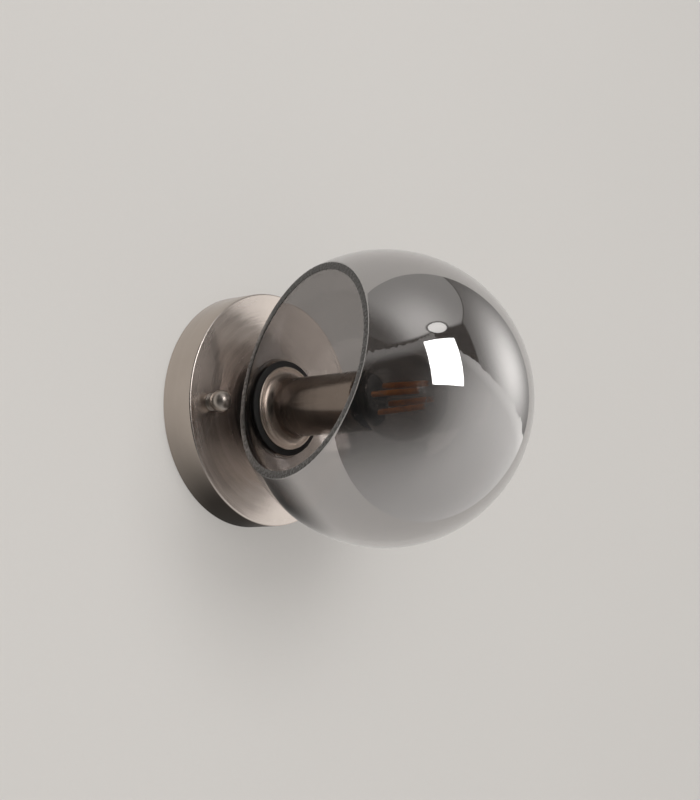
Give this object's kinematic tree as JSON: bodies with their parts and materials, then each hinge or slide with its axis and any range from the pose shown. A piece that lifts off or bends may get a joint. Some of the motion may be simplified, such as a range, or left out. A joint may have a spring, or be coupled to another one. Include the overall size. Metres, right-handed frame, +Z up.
{
  "type": "globe wall sconce",
  "caption": "Wall light with a drum backplate, a smoked glass globe with a large slanting mouth that turns about a straight lamp tube, and a screw-in ball bulb.",
  "frame": {"origin": "middle of the backplate's rear rim, on the wall, where the crossbar's rear face lies", "axes": "+Y into the wall, so the lamp axis runs along -Y into the room; +X to the viewer's right; +Z up"},
  "size_m": [0.1417, 0.1705, 0.15],
  "materials": {
    "zinc_steel": "zinc plated",
    "brushed_nickel": "satin spun nickel",
    "polished_nickel": "semi-bright nickel",
    "dark_nickel": "satin nickel, brushed around",
    "white_plastic": "matte",
    "black_plastic": "matte",
    "black_rubber": "matte",
    "smoked_glass": "plated smoke glass, part mirror",
    "clear_glass": "clear",
    "bare_brass": "bare",
    "solder": "dull",
    "black_vitrite": "glossy",
    "cap_nickel": "bright",
    "amber_phosphor": "matte amber silicone",
    "driver_board": "matte",
    "brown_insulation": "matte",
    "blue_insulation": "matte",
    "green_insulation": "matte"
  },
  "bodies": {
    "wall_fixture": {"mounting_crossbar": "zinc_steel", "canopy_studs": "zinc_steel", "stud_lock_nuts": "zinc_steel", "backplate": "brushed_nickel", "centre_nipple": "zinc_steel", "nipple_nut": "zinc_steel", "nipple_washer": "zinc_steel", "nipple_tail_bush": "white_plastic", "centring_bush": "black_plastic", "lower_gasket": "black_rubber", "upper_gasket": "black_rubber", "lamp_cup": "dark_nickel", "lampholder_base": "black_plastic", "lampholder_body": "black_plastic", "lampholder_terminals": "bare_brass", "terminal_screws": "zinc_steel", "lampholder_shell": "bare_brass", "side_contact_pin": "bare_brass", "centre_contact": "bare_brass", "terminal_block": "white_plastic", "terminal_inserts": "bare_brass", "clamp_screws": "zinc_steel", "block_fixing_screw": "zinc_steel", "earth_screw": "zinc_steel", "earth_washer": "zinc_steel", "earth_tag": "bare_brass", "live_lead": "brown_insulation", "neutral_lead": "blue_insulation", "earth_lead": "green_insulation"},
    "globe": {"globe_glass": "smoked_glass"},
    "bulb_thread": {"bulb_tip": "solder"},
    "bulb": {"bulb_insulator": "black_vitrite", "bulb_screw_cap": "cap_nickel", "bulb_envelope": "clear_glass", "bulb_stem": "clear_glass", "bulb_filaments": "amber_phosphor", "bulb_support_wires": "cap_nickel", "bulb_driver": "driver_board"},
    "left_washer": {"left_nut_washer": "polished_nickel"},
    "left_nut": {"left_ball_nut": "polished_nickel"},
    "right_washer": {"right_nut_washer": "polished_nickel"},
    "right_nut": {"right_ball_nut": "polished_nickel"}
  },
  "joints": [
    {"name": "globe_turn", "type": "hinge", "parent": "wall_fixture", "child": "globe", "pos_m": [0, -0.0955, 0], "axis": [0, -1, 0], "continuous": true},
    {"name": "bulb_travel", "type": "slide", "parent": "wall_fixture", "child": "bulb_thread", "axis": [0, -1, 0], "range_m": [0, 0.0141]},
    {"name": "bulb_turn", "type": "hinge", "parent": "bulb_thread", "child": "bulb", "pos_m": [0, -0.0664, 0], "axis": [0, -1, 0], "range_deg": [0, 1800]},
    {"name": "left_nut_travel", "type": "slide", "parent": "wall_fixture", "child": "left_washer", "axis": [0, -1, 0], "range_m": [0, 0.0028]},
    {"name": "left_nut_turn", "type": "hinge", "parent": "left_washer", "child": "left_nut", "pos_m": [-0.0466, -0.0263, 0], "axis": [0, -1, 0], "range_deg": [0, 1500]},
    {"name": "right_nut_travel", "type": "slide", "parent": "wall_fixture", "child": "right_washer", "axis": [0, -1, 0], "range_m": [0, 0.0028]},
    {"name": "right_nut_turn", "type": "hinge", "parent": "right_washer", "child": "right_nut", "pos_m": [0.0466, -0.0263, 0], "axis": [0, -1, 0], "range_deg": [0, 1500]}
  ],
  "couplings": [
    {"joint": "bulb_travel", "follows": "bulb_turn", "m_per_rad": 0.00044881},
    {"joint": "left_nut_turn", "follows": "left_nut_travel", "rad_per_m": 8975.9},
    {"joint": "right_nut_turn", "follows": "right_nut_travel", "rad_per_m": 8975.9}
  ]
}
